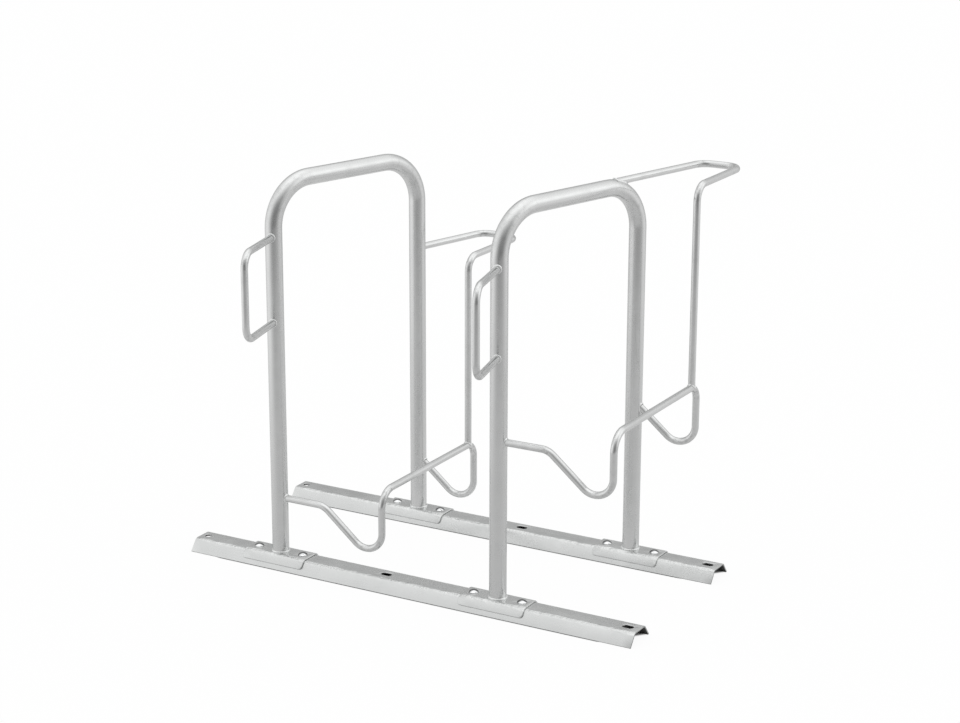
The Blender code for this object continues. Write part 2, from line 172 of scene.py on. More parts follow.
# The studio's sides: azimuth in degrees, narrowness, and the greys by the sine of the height
STUDIO_SIDES = [
    {
        "azimuth": -50,
        "narrowness": 1.1,
        "greys": [(0, 0.25), (0.38, 0.29), (0.54, 0.46), (0.68, 0.64), (0.80, 0.94), (0.92, 1.20), (1, 1.32)],
    },
    {
        "azimuth": 28,
        "narrowness": 4.0,
        "greys": [(0, 0.80), (0.25, 1.12), (0.42, 1.25), (0.60, 1.08), (0.80, 0.86), (0.95, 0.94), (1, 1.0)],
    },
    {
        "azimuth": 111,
        "narrowness": 1.2,
        "greys": [(0, 0.62), (0.30, 0.57), (0.44, 0.62), (0.62, 0.86), (0.76, 1.10), (0.92, 1.32), (1, 1.36)],
    },
    {
        "azimuth": -148,
        "narrowness": 2.2,
        "greys": [(0, 1.06), (0.25, 1.08), (0.62, 0.98), (0.82, 1.05), (0.92, 1.20), (1, 1.28)],
    },
]
STUDIO_TINT = (0.994, 1.0, 0.998)
# The dim gap between the backdrop and the ceiling: azimuth and half width in degrees, the sines of
# the heights where its edges fade, and its depth
GAP_AZIMUTH = 121
GAP_HALF_WIDTH = 30
GAP_LOWER_EDGE = (0.20, 0.30)
GAP_UPPER_EDGE = (0.40, 0.54)
GAP_DEPTH = 0.20

# The camera: lens and sensor in millimetres, its place from the middle between the rails, its axis
CAMERA_LENS = 84.76
CAMERA_SENSOR_WIDTH = 36.0
CAMERA_CLIP_END = 100.0
CAMERA_PLACE = (2.1436, -3.7032, 1.6753)
CAMERA_AXIS = (-0.47159, 0.83586, -0.28098)
CAMERA_ROLL = math.radians(0.15)

# What follows from these sizes
REARMOST = RAIL_SPACING / 2 + GUIDE_REACH
FOREMOST = -RAIL_SPACING / 2 - LOCK_LOOP_REACH * math.cos(LOCK_LOOP_TURN)
MIDDLE_Y = -(REARMOST + FOREMOST) / 2
RAIL_Y = {"front": MIDDLE_Y - RAIL_SPACING / 2, "rear": MIDDLE_Y + RAIL_SPACING / 2}
BAY_X = {"left": -BAY_SPACING / 2, "right": BAY_SPACING / 2}
BAY_LIFT = {"left": 0.0, "right": HIGH_BAY_LIFT}
SKEW_SHIFT = {"front": -HOOP_SKEW / 2, "rear": HOOP_SKEW / 2}
TUBE_RADIUS = TUBE_DIAMETER / 2
BAR_RADIUS = BAR_DIAMETER / 2
RAIL_UNDERSIDE = RAIL_HEIGHT - RAIL_WALL
SHOE_TOP = RAIL_HEIGHT + TOUCH_GAP + SHOE_WALL
ON_SHOE = SHOE_TOP + TOUCH_GAP
HOOP_CROWN = HOOP_HEIGHT - TUBE_RADIUS
BOLT_HOLE_DIAMETER = BOLT_DIAMETER + BOLT_HOLE_CLEARANCE
BOLT_HEAD_RADIUS = BOLT_HEAD_DIAMETER / 2
DOME_RADIUS = (BOLT_HEAD_RADIUS**2 + BOLT_HEAD_HEIGHT**2) / (2 * BOLT_HEAD_HEIGHT)
DOME_CENTRE = ON_SHOE + BOLT_HEAD_HEIGHT - DOME_RADIUS
WASHER_TOP = RAIL_UNDERSIDE - TOUCH_GAP
NUT_TOP = WASHER_TOP - WASHER_THICKNESS - TOUCH_GAP
BOLT_END = NUT_TOP - NUT_HEIGHT - BOLT_END_LENGTH


def leg_point(bay, rail, height):
    """A point at one height on the axis of a hoop's leg."""
    return Vector((BAY_X[bay] + SKEW_SHIFT[rail], RAIL_Y[rail], height))


# Materials


class NodeTree:
    """A short way to write the nodes of a material or of the world."""

    def __init__(self, owner, shader="Principled BSDF", place="Object"):
        owner.use_nodes = True
        self.tree = owner.node_tree
        self.shader = self.tree.nodes[shader]
        self.place = self.new("ShaderNodeTexCoord").outputs[place]

    def new(self, kind, **settings):
        node = self.tree.nodes.new(kind)
        for name, value in settings.items():
            setattr(node, name, value)
        return node

    def link(self, source, target):
        self.tree.links.new(source, target)

    def feed(self, socket, value):
        """A socket gets a number, a colour or the value of another socket."""
        if isinstance(value, (int, float)):
            socket.default_value = value
        elif isinstance(value, tuple):
            socket.default_value = (*value, 1.0)
        else:
            self.link(value, socket)

    def axes(self):
        """The three coordinates of the place."""
        split = self.new("ShaderNodeSeparateXYZ")
        self.link(self.place, split.inputs["Vector"])
        return [split.outputs[axis] for axis in "XYZ"]

    def noise(self, scale, detail=3.0, roughness=0.55, stretch=(1, 1, 1)):
        place = self.place
        if stretch != (1, 1, 1):
            mapping = self.new("ShaderNodeMapping")
            mapping.inputs["Scale"].default_value = stretch
            self.link(place, mapping.inputs["Vector"])
            place = mapping.outputs["Vector"]
        node = self.new("ShaderNodeTexNoise")
        node.inputs["Scale"].default_value = scale
        node.inputs["Detail"].default_value = detail
        node.inputs["Roughness"].default_value = roughness
        self.link(place, node.inputs["Vector"])
        return node.outputs["Fac"]

    def cells(self, scale):
        """The grey of each crystal of the zinc."""
        node = self.new("ShaderNodeTexVoronoi")
        node.inputs["Scale"].default_value = scale
        node.inputs["Randomness"].default_value = 1.0
        self.link(self.place, node.inputs["Vector"])
        grey = self.new("ShaderNodeSeparateColor")
        self.link(node.outputs["Color"], grey.inputs["Color"])
        return grey.outputs["Red"]

    def ramp(self, value, low, high, to_low=0.0, to_high=1.0, kind="LINEAR"):
        node = self.new("ShaderNodeMapRange", interpolation_type=kind)
        node.inputs["From Min"].default_value = low
        node.inputs["From Max"].default_value = high
        node.inputs["To Min"].default_value = to_low
        node.inputs["To Max"].default_value = to_high
        self.link(value, node.inputs["Value"])
        return node.outputs["Result"]

    def rise(self, value, low, high, top=1.0):
        """A soft step up between two values."""
        return self.ramp(value, low, high, 0.0, top, kind="SMOOTHSTEP")

    def fall(self, value, low, high):
        """A soft step down between two values."""
        return self.ramp(value, low, high, 1.0, 0.0, kind="SMOOTHSTEP")

    def math(self, operation, *values, clamp=False):
        node = self.new("ShaderNodeMath", operation=operation, use_clamp=clamp)
        for socket, value in zip(node.inputs, values):
            self.feed(socket, value)
        return node.outputs["Value"]

    def mix(self, factor, first, second):
        node = self.new("ShaderNodeMix", data_type="RGBA")
        sockets = (node.inputs[0], node.inputs[6], node.inputs[7])
        for socket, value in zip(sockets, (factor, first, second)):
            self.feed(socket, value)
        return node.outputs[2]

    def attribute(self, name):
        return self.new("ShaderNodeAttribute", attribute_name=name).outputs["Fac"]

    def bump(self, height, strength, distance, normal=None):
        node = self.new("ShaderNodeBump")
        node.inputs["Strength"].default_value = strength
        node.inputs["Distance"].default_value = distance
        self.link(height, node.inputs["Height"])
        if normal is not None:
            self.link(normal, node.inputs["Normal"])
        return node.outputs["Normal"]


# The patterns of zinc, and the share of the dull zinc's grey that each kind of mark keeps
CLOUDS = {"scale": 7.0, "detail": 5.0, "roughness": 0.6}
STREAKS = {"scale": 26.0, "detail": 4.0, "roughness": 0.65}
SPOTS = {"scale": 95.0, "detail": 4.0, "roughness": 0.7}
BLOTCHES = {"scale": 34.0}
WAVES = {"scale": 38.0, "detail": 2.0}
DROPS = {"scale": 55.0, "detail": 4.0, "roughness": 0.6}
FINE_GRAIN = {"scale": 420.0, "detail": 2.0, "roughness": 0.6}
CRYSTAL_SHARE = 0.15
RUN_GREY = 0.80
BEND_SPOT_GREY = 0.35
# Painted shade keeps this share of the dull zinc's grey
PAINTED_SHADE_GREY = 0.16
ROUGHNESS_SPREAD = 0.12
WAVE_HEIGHT = 0.0010
GRAIN_HEIGHT = 0.0004
GRAIN_STRENGTH = 0.10


def darker(colour, share):
    return tuple(share * channel for channel in colour)


def zinc(
    name, pale, dull, gloss, crystal,
    grain=(1, 1, 1), bend_spots=0.0, waves=0.18, relief=0.6, runs=0.45, drops=0.0,
):
    """Galvanised steel: clouds and crystals of zinc, runs along the grain, darker spots and drops at bends,
    and painted shade where a mesh marks it.
    """
    material = bpy.data.materials.new(name)
    nodes = NodeTree(material)
    clouds = nodes.ramp(nodes.noise(**CLOUDS), 0.30, 0.72, to_high=1.0 - CRYSTAL_SHARE)
    crystals = nodes.ramp(nodes.cells(crystal), 0.0, 1.0, to_high=CRYSTAL_SHARE)
    colour = nodes.mix(nodes.math("ADD", clouds, crystals), dull, pale)
    streaks = nodes.noise(**STREAKS, stretch=grain)
    colour = nodes.mix(nodes.ramp(streaks, 0.56, 0.80, to_high=runs), colour, darker(dull, RUN_GREY))
    if bend_spots:
        # Darker spots in the bends, where the mesh marks them
        spots = nodes.ramp(nodes.noise(**SPOTS), 0.50, 0.66, to_high=bend_spots)
        marks = nodes.math("MULTIPLY", spots, nodes.attribute("bend"))
        colour = nodes.mix(marks, colour, darker(dull, BEND_SPOT_GREY))
    # Painted shade where a mesh marks it: on a rail's inner skin and on an arc of each bolt head
    colour = nodes.mix(nodes.attribute("painted_shade"), colour, darker(dull, PAINTED_SHADE_GREY))
    nodes.link(colour, nodes.shader.inputs["Base Color"])
    unevenness = nodes.math("ADD", nodes.noise(**BLOTCHES), streaks)
    roughness = nodes.ramp(unevenness, 0.7, 1.3, gloss, gloss + ROUGHNESS_SPREAD)
    nodes.link(roughness, nodes.shader.inputs["Roughness"])
    nodes.shader.inputs["Metallic"].default_value = 1.0
    normal = nodes.bump(nodes.noise(**WAVES), strength=waves, distance=WAVE_HEIGHT)
    if drops:
        height = nodes.math("SUBTRACT", nodes.noise(**DROPS), 0.5)
        height = nodes.math("MULTIPLY", height, nodes.attribute("bend"))
        normal = nodes.bump(height, strength=1.0, distance=drops, normal=normal)
    fine_grain = nodes.noise(**FINE_GRAIN, stretch=grain)
    normal = nodes.bump(fine_grain, strength=GRAIN_STRENGTH * relief, distance=GRAIN_HEIGHT, normal=normal)
    nodes.link(normal, nodes.shader.inputs["Normal"])
    return material


TUBE_ZINC = zinc(
    "tube_zinc", pale=(0.738, 0.742, 0.740), dull=(0.689, 0.693, 0.691), gloss=0.20, crystal=85.0,
    grain=(1, 1, 0.12), bend_spots=0.2, waves=0.07, relief=0.06, runs=0.25,
)
BAR_ZINC = zinc(
    "bar_zinc", pale=(0.757, 0.760, 0.758), dull=(0.667, 0.671, 0.670), gloss=0.17, crystal=120.0,
    bend_spots=0.4, waves=0.09, relief=0.2,
)
RAIL_ZINC = zinc(
    "rail_zinc", pale=(0.738, 0.744, 0.741), dull=(0.678, 0.684, 0.681), gloss=0.20, crystal=55.0,
    grain=(0.10, 1, 1), waves=0.26, relief=0.05, runs=0.20, drops=0.004,
)
SHOE_ZINC = zinc(
    "shoe_zinc", pale=(0.733, 0.739, 0.736), dull=(0.663, 0.669, 0.666), gloss=0.20, crystal=60.0,
    grain=(0.2, 1, 1), waves=0.22, relief=0.05, runs=0.20, drops=0.004,
)
WELD_ZINC = zinc(
    "weld_zinc", pale=(0.92, 0.925, 0.922), dull=(0.80, 0.805, 0.802), gloss=0.30, crystal=160.0
)
BOLT_PLATING = zinc(
    "bolt_plating", pale=(0.93, 0.935, 0.94), dull=(0.86, 0.865, 0.87), gloss=0.08, crystal=300.0,
    waves=0.05, relief=0.2,
)


# Shapes


def mesh_from(name, shape):
    """A mesh with what a bmesh holds."""
    mesh = bpy.data.meshes.new(name)
    shape.to_mesh(mesh)
    shape.free()
    return mesh


def closed_mesh(name, shape, material, sharp_angle):
    """A closed mesh from a bmesh, shaded smooth up to its real edges."""
    bmesh.ops.recalc_face_normals(shape, faces=shape.faces)
    mesh = mesh_from(name, shape)
    mesh.materials.append(material)
    mesh.shade_smooth()
    mesh.set_sharp_from_angle(angle=sharp_angle)
    return mesh


def add_object(name, mesh):
    piece = bpy.data.objects.new(name, mesh)
    bpy.context.scene.collection.objects.link(piece)
    return piece


def settle(piece, slot, *nodes):
    """The piece belongs to the stand's one body, and may stand for nodes of the frame."""
    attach(piece, "root")
    if nodes:
        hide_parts(*nodes)


def apply_modifiers(piece):
    """The piece's modifiers become its mesh."""
    bpy.context.view_layer.update()
    depsgraph = bpy.context.evaluated_depsgraph_get()
    mesh = bpy.data.meshes.new_from_object(piece.evaluated_get(depsgraph))
    mesh.name = piece.name
    piece.modifiers.clear()
    piece.data = mesh


def mark_points(mesh, name, shares):
    """Gives each point of a mesh a share that its material reads."""
    mark = mesh.attributes.new(name, "FLOAT", "POINT")
    mark.data.foreach_set("value", shares)


def rounded_path(corners, radii, quarter_steps):
    """The corners of a run, each one rounded to its own radius, with a flag for bends."""
    points = [corners[0]]
    bends = [0.0]
    for index, radius in enumerate(radii, start=1):
        corner = corners[index]
        arriving = (corner - corners[index - 1]).normalized()
        leaving = (corners[index + 1] - corner).normalized()
        turn = arriving.angle(leaving)
        start = corner - arriving * radius * math.tan(turn / 2)
        inward = (leaving - arriving * arriving.dot(leaving)).normalized()
        steps = max(2, math.ceil(quarter_steps * turn / math.radians(90)))
        for step in range(steps + 1):
            angle = turn * step / steps
            along = radius * math.sin(angle)
            across = radius * (1 - math.cos(angle))
            points.append(start + arriving * along + inward * across)
            bends.append(math.sin(math.pi * step / steps) ** 0.5)
    points.append(corners[-1])
    bends.append(0.0)
    return points, bends


def subdivided(points, bends, longest):
    """Long straight stretches get points of their own."""
    fine, flags = [points[0]], [bends[0]]
    for index in range(1, len(points)):
        start, end = points[index - 1], points[index]
        count = max(1, math.ceil((end - start).length / longest))
        for step in range(1, count + 1):
            fine.append(start.lerp(end, step / count))
            flags.append(bends[index - 1] + (bends[index] - bends[index - 1]) * step / count)
    return fine, flags


def across_directions(points, closed=False):
    """Two directions across a path at every point, carried along without a twist."""
    count = len(points)
    tangents = []
    for index in range(count):
        before = points[index - 1] if closed or index else points[0]
        after = points[(index + 1) % count] if closed or index < count - 1 else points[-1]
        tangents.append((after - before).normalized())
    across = tangents[0].orthogonal().normalized()
    directions = []
    for tangent in tangents:
        across = (across - tangent * across.dot(tangent)).normalized()
        directions.append((across, tangent.cross(across)))
    return directions


def spokes(first, second, count):
    """Unit vectors all around, in the plane of two directions."""
    angles = [2 * math.pi * index / count for index in range(count)]
    return [first * math.cos(angle) + second * math.sin(angle) for angle in angles]


def bridge(shape, lower, upper):
    """Faces between two rings of as many points."""
    count = len(lower)
    for side in range(count):
        after = (side + 1) % count
        shape.faces.new((lower[side], lower[after], upper[after], upper[side]))


def swept_bar(name, points, bends, radius, sides, material, bore=0.0):
    """A round bar along a path, or a tube with a bore, with its bends marked on its points."""
    shape = bmesh.new()
    layer = shape.verts.layers.float.new("bend")
    directions = across_directions(points)

    def skin(skin_radius):
        rings = []
        for point, flag, (first, second) in zip(points, bends, directions):
            ring = [shape.verts.new(point + spoke * skin_radius) for spoke in spokes(first, second, sides)]
            for vert in ring:
                vert[layer] = flag
            rings.append(ring)
        for lower, upper in zip(rings, rings[1:]):
            bridge(shape, lower, upper)
        return rings

    outer = skin(radius)
    if bore:
        inner = skin(bore)
        bridge(shape, outer[0], inner[0])
        bridge(shape, outer[-1], inner[-1])
    else:
        shape.faces.new(outer[0])
        shape.faces.new(outer[-1])
    return closed_mesh(name, shape, material, math.radians(35))


def add_bead(name, slot, loop, radius, ripple_length, seed, heavy=Vector()):
    """A rope of weld along a closed loop, rippled as it was laid and thicker towards its heavy side."""
    centre = sum(loop, Vector()) / len(loop)
    shape = bmesh.new()
    rings = []
    run = 0.0
    for index, (point, (first, second)) in enumerate(zip(loop, across_directions(loop, closed=True))):
        run += (point - loop[index - 1]).length
        ripple = abs(math.sin(math.pi * run / ripple_length))
        swell = noise.noise(point * WELD_SWELL_SCALE + Vector((seed, 0, 0)))
        thickness = radius * (1 + (point - centre).normalized().dot(heavy))
        laid = 1 - WELD_RIPPLE_SHARE * (1 - ripple) + WELD_SWELL_SHARE * swell
        around = spokes(first, second, BEAD_SIDES)
        rings.append([shape.verts.new(point + spoke * thickness * laid) for spoke in around])
    for index, ring in enumerate(rings):
        bridge(shape, rings[index - 1], ring)
    settle(add_object(name, closed_mesh(name, shape, WELD_ZINC, math.radians(60))), slot)


def distance_to_path(point, path):
    """The distance from a point to a run of straight stretches."""
    nearest = math.inf
    for start, end in zip(path, path[1:]):
        stretch = end - start
        share = (point - start).dot(stretch) / stretch.length_squared
        share = min(1.0, max(0.0, share))
        nearest = min(nearest, (point - start - stretch * share).length)
    return nearest


def seam_loop(start, direction, host_path, host_radius, reach):
    """Where the skin of a bar leaves the skin of the tube that it is welded to."""
    first = direction.orthogonal().normalized()
    loop = []
    for spoke in spokes(first, direction.cross(first), SEAM_POINTS):
        line_start = start + spoke * BAR_RADIUS
        inside, outside = 0.0, reach
        for _ in range(SEAM_HALVINGS):
            middle = (inside + outside) / 2
            if distance_to_path(line_start + direction * middle, host_path) < host_radius:
                inside = middle
            else:
                outside = middle
        seam = line_start + direction * inside
        loop.append(seam + (spoke + direction) * WELD_STAND_OFF)
    return loop


# Rails and shoes


def channel_section(offset, lowest):
    """The outline of the rail's outside, moved outwards by an offset, down to a lowest height."""
    top = RAIL_HEIGHT + offset
    half_top = RAIL_TOP_WIDTH / 2 + offset * math.tan(RAIL_SIDE_ANGLE / 2)
    half_foot = half_top + (top - lowest) / math.tan(RAIL_SIDE_ANGLE)
    corners = [
        Vector((-half_foot, lowest, 0.0)),
        Vector((-half_top, top, 0.0)),
        Vector((half_top, top, 0.0)),
        Vector((half_foot, lowest, 0.0)),
    ]
    radius = RAIL_BEND_RADIUS + offset
    path, _ = rounded_path(corners, [radius, radius], 2 * SHEET_BEND_STEPS)
    return path


def folded_sheet(name, section, length, centre, material):
    """An open folded surface that faces up, a section in the YZ plane carried along X."""
    shape = bmesh.new()
    steps = max(2, round(length / SHEET_STEP_LENGTH))
    rows = []
    for step in range(steps + 1):
        x = centre.x + length * (step / steps - 0.5)
        rows.append([shape.verts.new((x, centre.y + point.x, point.y)) for point in section])
    for row, following in zip(rows, rows[1:]):
        for index in range(len(section) - 1):
            shape.faces.new((row[index], following[index], following[index + 1], row[index + 1]))
    bmesh.ops.recalc_face_normals(shape, faces=shape.faces)
    if sum(face.normal.z for face in shape.faces) < 0:
        bmesh.ops.reverse_faces(shape, faces=shape.faces)
    mesh = mesh_from(name, shape)
    mesh.materials.append(material)
    return add_object(name, mesh)


def hole_cutter(x, y, z, width, stretch=0.0, square=False):
    """What a hole takes away: a round bar, one drawn out along X for a slot, or a square bar."""
    depth = 0.06
    shape = bmesh.new()
    if square:
        bmesh.ops.create_cube(shape, size=1.0)
        bmesh.ops.scale(shape, vec=(width, width, depth), verts=shape.verts)
    else:
        bmesh.ops.create_cone(
            shape, cap_ends=True, segments=HOLE_SIDES, radius1=width / 2, radius2=width / 2, depth=depth
        )
        half_side = Matrix.Rotation(math.pi / HOLE_SIDES, 3, "Z")
        bmesh.ops.rotate(shape, matrix=half_side, verts=shape.verts)
        for vert in shape.verts:
            vert.co.x += math.copysign(stretch / 2, vert.co.x)
    bmesh.ops.translate(shape, vec=(x, y, z), verts=shape.verts)
    return add_object("hole_cutter", mesh_from("hole_cutter", shape))


def finish_sheet(sheet, thickness, outwards, holes, edge_softness):
    """The sheet gets its thickness, outwards or inwards, its holes and the soft edges that zinc leaves."""
    solidify = sheet.modifiers.new("thickness", "SOLIDIFY")
    solidify.thickness = thickness
    solidify.offset = 1.0 if outwards else -1.0
    solidify.use_even_offset = True
    cutters = []
    for hole in holes:
        cutter = hole_cutter(*hole)
        boolean = sheet.modifiers.new("hole", "BOOLEAN")
        boolean.operation = "DIFFERENCE"
        boolean.solver = "EXACT"
        boolean.object = cutter
        cutters.append(cutter)
    apply_modifiers(sheet)
    for cutter in cutters:
        bpy.data.objects.remove(cutter, do_unlink=True)
    edge_angle = math.radians(50)
    bevel = sheet.modifiers.new("soft_edges", "BEVEL")
    bevel.width = edge_softness
    bevel.segments = 2
    bevel.limit_method = "ANGLE"
    bevel.angle_limit = edge_angle
    apply_modifiers(sheet)
    sheet.data.shade_smooth()
    sheet.data.set_sharp_from_angle(angle=edge_angle)


def bolt_positions(bay, rail):
    """The two bolts of a shoe, one at each side of the leg."""
    leg = leg_point(bay, rail, 0.0)
    return [(leg.x + side * BOLT_SPACING / 2, leg.y) for side in (-1, 1)]


def mark_bends(mesh, y, offset):
    """Marks the two long bends of a rail or a shoe, where drops of zinc have set."""
    half_top = RAIL_TOP_WIDTH / 2 + offset * math.tan(RAIL_SIDE_ANGLE / 2)
    tangent = (RAIL_BEND_RADIUS + offset) * math.tan(RAIL_SIDE_ANGLE / 2)
    start = half_top - tangent
    width = tangent * (1 + math.cos(RAIL_SIDE_ANGLE))
    shares = []
    for vertex in mesh.vertices:
        across = (abs(vertex.co.y - y) - start) / width
        shares.append(math.sin(math.pi * min(max(across, 0.0), 1.0)))
    mark_points(mesh, "bend", shares)


def paint_inside_shade(mesh, y):
    """Paints shade on the inner skin of a rail, which lies in the channel's shade."""
    shares = []
    for vertex in mesh.vertices:
        below_top = RAIL_HEIGHT - vertex.co.z
        half_width = RAIL_TOP_WIDTH / 2 + below_top / math.tan(RAIL_SIDE_ANGLE)
        behind_side = (half_width - abs(vertex.co.y - y)) * math.sin(RAIL_SIDE_ANGLE)
        shares.append(INSIDE_SHADE_SHARE if min(below_top, behind_side) > RAIL_WALL / 2 else 0.0)
    mark_points(mesh, "painted_shade", shares)


def add_rail(rail):
    y = RAIL_Y[rail]
    section = channel_section(0.0, RAIL_WALL * math.cos(RAIL_SIDE_ANGLE))
    sheet = folded_sheet(f"{rail}_rail_steel", section, RAIL_LENGTH, Vector((0.0, y, 0.0)), RAIL_ZINC)
    slot_stretch = FLOOR_SLOT_LENGTH - FLOOR_HOLE_DIAMETER
    holes = [
        (END_HOLE_INSET - RAIL_LENGTH / 2, y, RAIL_HEIGHT, FLOOR_HOLE_DIAMETER),
        (SKEW_SHIFT[rail], y, RAIL_HEIGHT, FLOOR_HOLE_DIAMETER, slot_stretch),
        (RAIL_LENGTH / 2 - END_SLOT_INSET, y, RAIL_HEIGHT, FLOOR_HOLE_DIAMETER, slot_stretch),
    ]
    for bay in BAY_X:
        holes += [(x, y, RAIL_HEIGHT, BOLT_HOLE_DIAMETER) for x, _ in bolt_positions(bay, rail)]
    finish_sheet(sheet, RAIL_WALL, False, holes, RAIL_EDGE_SOFTNESS)
    mark_bends(sheet.data, y, 0.0)
    # Painted shade on the rail's inner skin
    paint_inside_shade(sheet.data, y)
    settle(sheet, "rail_zinc", f"{rail}_rail")


def add_shoe(bay, rail):
    lowest = SHOE_TOP - SHOE_DEPTH
    leg = leg_point(bay, rail, 0.0)
    section = channel_section(TOUCH_GAP, lowest)
    sheet = folded_sheet(f"{bay}_{rail}_shoe_steel", section, SHOE_LENGTH, leg, SHOE_ZINC)
    shape = bmesh.new()
    shape.from_mesh(sheet.data)
    ends = (leg.x - SHOE_LENGTH / 2, leg.x + SHOE_LENGTH / 2)
    corners = [
        vert
        for vert in shape.verts
        if vert.co.z < lowest + TOUCH_GAP and min(abs(vert.co.x - end) for end in ends) < TOUCH_GAP
    ]
    bmesh.ops.bevel(
        shape,
        geom=corners,
        offset=SHOE_CORNER_RADIUS,
        segments=SHOE_CORNER_STEPS,
        affect="VERTICES",
        profile=0.5,
    )
    shape.to_mesh(sheet.data)
    shape.free()
    holes = [(x, y, SHOE_TOP, BOLT_HOLE_DIAMETER, 0.0, True) for x, y in bolt_positions(bay, rail)]
    finish_sheet(sheet, SHOE_WALL, True, holes, SHOE_EDGE_SOFTNESS)
    mark_bends(sheet.data, leg.y, SHOE_WALL + TOUCH_GAP)
    settle(sheet, "shoe_zinc", f"{bay}_{rail}_shoe")


# Hoops and bars


def hoop_path(bay):
    corners = [
        leg_point(bay, "front", ON_SHOE),
        leg_point(bay, "front", HOOP_CROWN),
        leg_point(bay, "rear", HOOP_CROWN),
        leg_point(bay, "rear", ON_SHOE),
    ]
    return rounded_path(corners, [HOOP_BEND_RADIUS] * 2, TUBE_BEND_STEPS)


def add_hoop(bay):
    points, bends = subdivided(*hoop_path(bay), TUBE_STEP_LENGTH)
    bore = TUBE_RADIUS - TUBE_WALL
    mesh = swept_bar(f"{bay}_hoop_tube", points, bends, TUBE_RADIUS, TUBE_SIDES, TUBE_ZINC, bore)
    settle(add_object(f"{bay}_hoop_tube", mesh), "tube_zinc", f"{bay}_hoop")
    around = spokes(Vector((1.0, 0.0, 0.0)), Vector((0.0, 1.0, 0.0)), FOOT_WELD_POINTS)
    for rail in RAIL_Y:
        foot = leg_point(bay, rail, ON_SHOE + FOOT_WELD_LIFT)
        loop = [foot + spoke * (TUBE_RADIUS + WELD_STAND_OFF) for spoke in around]
        seed = BAY_X[bay] * 9 + RAIL_Y[rail]
        add_bead(f"{bay}_{rail}_foot_weld", "tube_zinc", loop, FOOT_WELD_RADIUS, FOOT_WELD_RIPPLE, seed)


def add_bar(name, node, corners, radii):
    points, bends = rounded_path(corners, radii, BAR_BEND_STEPS)
    points, bends = subdivided(points, bends, BAR_STEP_LENGTH)
    mesh = swept_bar(name, points, bends, BAR_RADIUS, BAR_SIDES, BAR_ZINC)
    settle(add_object(name, mesh), "bar_zinc", node)
    return points


def add_seam(name, start, direction, host, reach=0.03, size=BAR_WELD_RADIUS, heavy_below=0.0):
    """The weld of a bar on its host, a path and a radius, found within a reach from the bar's start."""
    loop = seam_loop(start, direction, *host, reach)
    seed = start.x * 31 + start.z * 17
    add_bead(name, "bar_zinc", loop, size, BAR_WELD_RIPPLE, seed, Vector((0.0, 0.0, -heavy_below)))


def hoop_host(bay):
    path, _ = hoop_path(bay)
    return path, TUBE_RADIUS


def inside_wall(axis_point, towards):
    """The end of a bar, just inside the skin of the tube whose axis it points to."""
    direction = (towards - axis_point).normalized()
    level = Vector((direction.x, direction.y, 0.0)).length
    return axis_point + direction * (TUBE_RADIUS - BAR_END_DEPTH) / level


def inside_walls(corners):
    """The corners of a bar that points to tubes at both ends, with its ends inside their skins."""
    return [inside_wall(corners[0], corners[1]), *corners[1:-1], inside_wall(corners[-1], corners[-2])]


def riser_x(bay):
    """Where the cradle's upright stretches and the guide's post stand."""
    return leg_point(bay, "front", 0.0).x + CRADLE_RISER_DISTANCE


def add_cradle(bay):
    lift = BAY_LIFT[bay]
    front = leg_point(bay, "front", lift)
    rear = leg_point(bay, "rear", lift)

    def at(x, leg, height):
        return Vector((x, leg.y, lift + height))

    corners = [
        at(front.x, front, CRADLE_ARM_HEIGHT),
        at(front.x + CRADLE_ARM_LENGTH, front, CRADLE_ARM_HEIGHT),
        at(riser_x(bay), front, CRADLE_TROUGH_CORNER_HEIGHT),
        at(riser_x(bay), front, CRADLE_TOP_HEIGHT),
        at(riser_x(bay), rear, CRADLE_TOP_HEIGHT),
        at(riser_x(bay), rear, CRADLE_TROUGH_CORNER_HEIGHT),
        at(rear.x, rear, CRADLE_ARM_HEIGHT),
    ]
    radii = [CRADLE_BEND_RADIUS] * 3 + [CRADLE_REAR_BEND_RADIUS, CRADLE_BEND_RADIUS]
    points = add_bar(f"{bay}_cradle_bar", f"{bay}_wheel_cradle", inside_walls(corners), radii)
    from_front = (points[1] - points[0]).normalized()
    from_rear = (points[-2] - points[-1]).normalized()
    add_seam(f"{bay}_cradle_front_weld", corners[0], from_front, hoop_host(bay))
    add_seam(f"{bay}_cradle_rear_weld", corners[-1], from_rear, hoop_host(bay), reach=0.04)
    return points


def add_guide(bay, cradle_points):
    height = HOOP_HEIGHT - BAR_RADIUS - HIGH_BAY_LIFT + BAY_LIFT[bay]
    rear = leg_point(bay, "rear", height)
    inner = rear + Vector((GUIDE_INNER_OFFSET, GUIDE_REACH, 0.0))
    post_y = rear.y - GUIDE_POST_INSET
    bar_top = CRADLE_TOP_HEIGHT + BAY_LIFT[bay]
    outward = (inner - rear).normalized()
    on_crown = height > HOOP_CROWN - HOOP_BEND_RADIUS
    if on_crown:
        start = seam_start = rear - outward * (HOOP_BEND_RADIUS - GUIDE_CROWN_LAP)
    else:
        start, seam_start = inside_wall(rear, inner), rear
    corners = [
        start,
        inner,
        Vector((riser_x(bay), inner.y, height)),
        Vector((riser_x(bay), post_y, height)),
        Vector((riser_x(bay), post_y, bar_top + BAR_RADIUS - POST_END_DEPTH)),
    ]
    add_bar(f"{bay}_guide_bar", f"{bay}_tyre_guide", corners, [GUIDE_BEND_RADIUS] * 3)
    crown_weld = {"reach": 0.12, "heavy_below": 0.9} if on_crown else {}
    add_seam(f"{bay}_guide_weld", seam_start, outward, hoop_host(bay), size=LARGE_WELD_RADIUS, **crown_weld)
    foot = Vector((riser_x(bay), post_y, bar_top))
    cradle = (cradle_points, BAR_RADIUS)
    add_seam(f"{bay}_post_weld", foot, Vector((0, 0, 1)), cradle, reach=0.02, size=POST_WELD_RADIUS)


